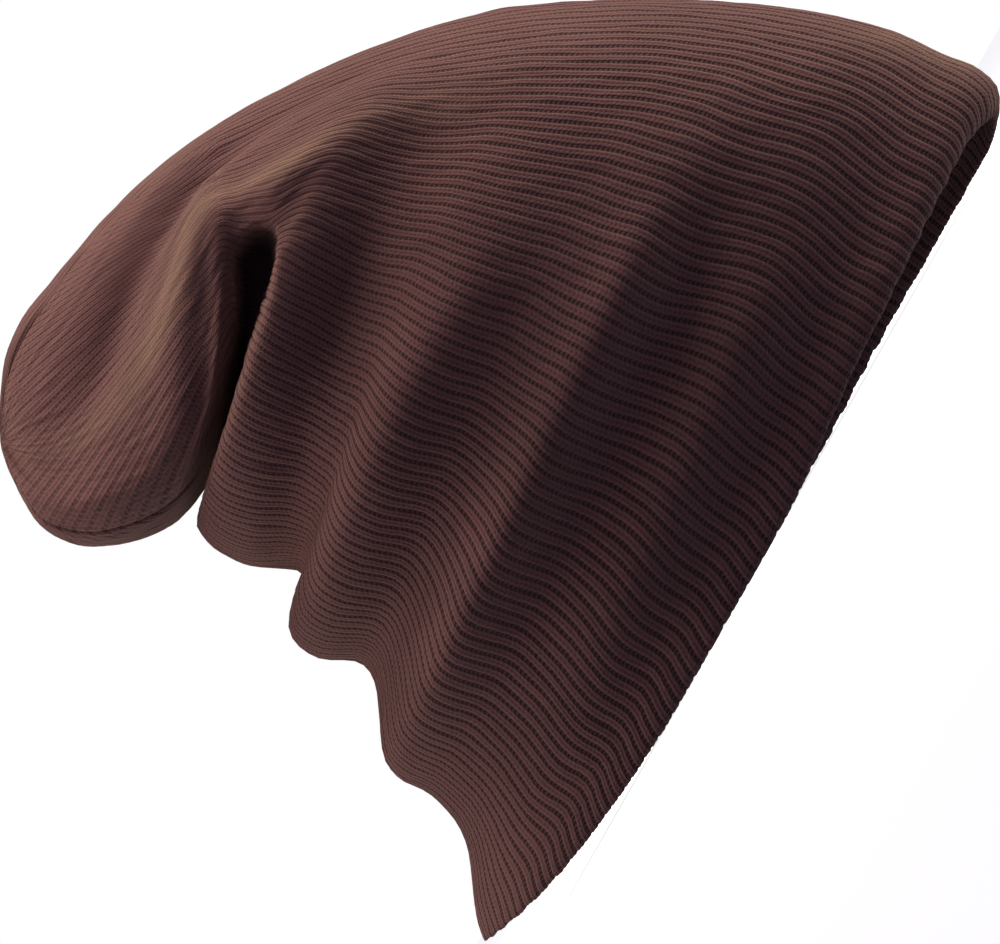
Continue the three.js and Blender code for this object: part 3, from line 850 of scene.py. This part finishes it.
class HAT_OT_stage(bpy.types.Operator):
    """Sets the pale floor, the soft studio light and the camera"""

    bl_idname = "hat.stage"
    bl_label = "Stage"

    def execute(self, context):
        scene = context.scene
        bm = bmesh.new()
        bmesh.ops.create_grid(bm, x_segments=1, y_segments=1, size=FLOOR["size"])
        floor = new_object("floor", bm)

        # Matt white paper: no gloss, and lit so evenly that shadows hardly show on it
        paper = bpy.data.materials.new("Matt white paper")
        paper.use_nodes = True
        shader = paper.node_tree.nodes["Principled BSDF"]
        shader.inputs["Base Color"].default_value = (*linear(scene.hat_colours.paper), 1)
        shader.inputs["Roughness"].default_value = 1.0
        shader.inputs["Emission Color"].default_value = (1, 1, 1, 1)
        shader.inputs["Emission Strength"].default_value = FLOOR["glow"]
        floor.data.materials.append(paper)
        floor.visible_diffuse = False

        # The backdrop is plain white to the eye, and gives the hat a weak cool fill
        world = bpy.data.worlds.new("Studio")
        world.use_nodes = True
        tree = world.node_tree
        tree.nodes.clear()
        ray = add_node(tree, "ShaderNodeLightPath")
        fill = add_node(
            tree, "ShaderNodeBackground", {0: FILL["colour"], 1: FILL["strength"]}
        )
        white = add_node(tree, "ShaderNodeBackground", {0: (1, 1, 1, 1), 1: 1.0})
        mix = add_node(
            tree, "ShaderNodeMixShader", {0: (ray, "Is Camera Ray"), 1: fill, 2: white}
        )
        add_node(tree, "ShaderNodeOutputWorld", {"Surface": mix})
        scene.world = world
        scene.view_settings.view_transform = "Standard"

        # Large soft lamps stand over the hat, from its front over its top to its back
        middle = Vector(VIEW["middle"])
        for name, angle, toward, power in LAMPS:
            light = bpy.data.lights.new(name, "AREA")
            light.shape, light.size, light.energy = "DISK", LAMP["size"], power
            light.color = LAMP["colour"]
            lamp = bpy.data.objects.new(name, light)
            way = Vector((
                math.cos(math.radians(angle)), -math.sin(math.radians(toward)),
                math.sin(math.radians(angle)),
            )).normalized()
            lamp.location = middle + way * LAMP["distance"]
            lamp.rotation_euler = (-way).to_track_quat("-Z", "Y").to_euler()
            scene.collection.objects.link(lamp)

        lens = bpy.data.cameras.new("Camera")
        camera = bpy.data.objects.new("Camera", lens)
        scene.collection.objects.link(camera)
        camera.location = (middle.x, -VIEW["distance"], VIEW["height"])
        back = (camera.location - middle).normalized()
        right = Vector(VIEW["up"]).cross(back).normalized()
        up = back.cross(right)
        camera.matrix_world = Matrix(
            [(right[k], up[k], back[k], camera.location[k]) for k in range(3)] + [(0, 0, 0, 1)]
        )
        lens.sensor_width = VIEW["sensor"]
        lens.lens = VIEW["sensor"] * VIEW["distance"] / VIEW["width"]
        lens.clip_end = 50
        scene.camera = camera
        return {"FINISHED"}


class HAT_PT_panel(bpy.types.Panel):
    """Lists the hat's pieces, sizes and colours"""

    bl_label = "Knit hat"
    bl_idname = "HAT_PT_panel"
    bl_space_type = "VIEW_3D"
    bl_region_type = "UI"
    bl_category = "Knit hat"

    def draw(self, context):
        layout = self.layout
        for group in (context.scene.hat_sizes, context.scene.hat_colours):
            for key in group.bl_rna.properties.keys():
                if key not in ("rna_type", "name"):
                    layout.prop(group, key)
        for operator in PIECES:
            layout.operator(operator.bl_idname)


PIECES = (HAT_OT_outer_layer, HAT_OT_inner_layer, HAT_OT_stage)
CLASSES = (HatSizes, HatColours, *PIECES, HAT_PT_panel)


def register():
    for cls in CLASSES:
        bpy.utils.register_class(cls)
    bpy.types.Scene.hat_sizes = bpy.props.PointerProperty(type=HatSizes)
    bpy.types.Scene.hat_colours = bpy.props.PointerProperty(type=HatColours)


def unregister():
    del bpy.types.Scene.hat_colours
    del bpy.types.Scene.hat_sizes
    for cls in reversed(CLASSES):
        bpy.utils.unregister_class(cls)


def main():
    """Builds the pieces in order."""
    register()
    bpy.ops.hat.inner_layer()
    bpy.ops.hat.outer_layer()
    bpy.ops.hat.stage()


if __name__ == "__main__":
    main()
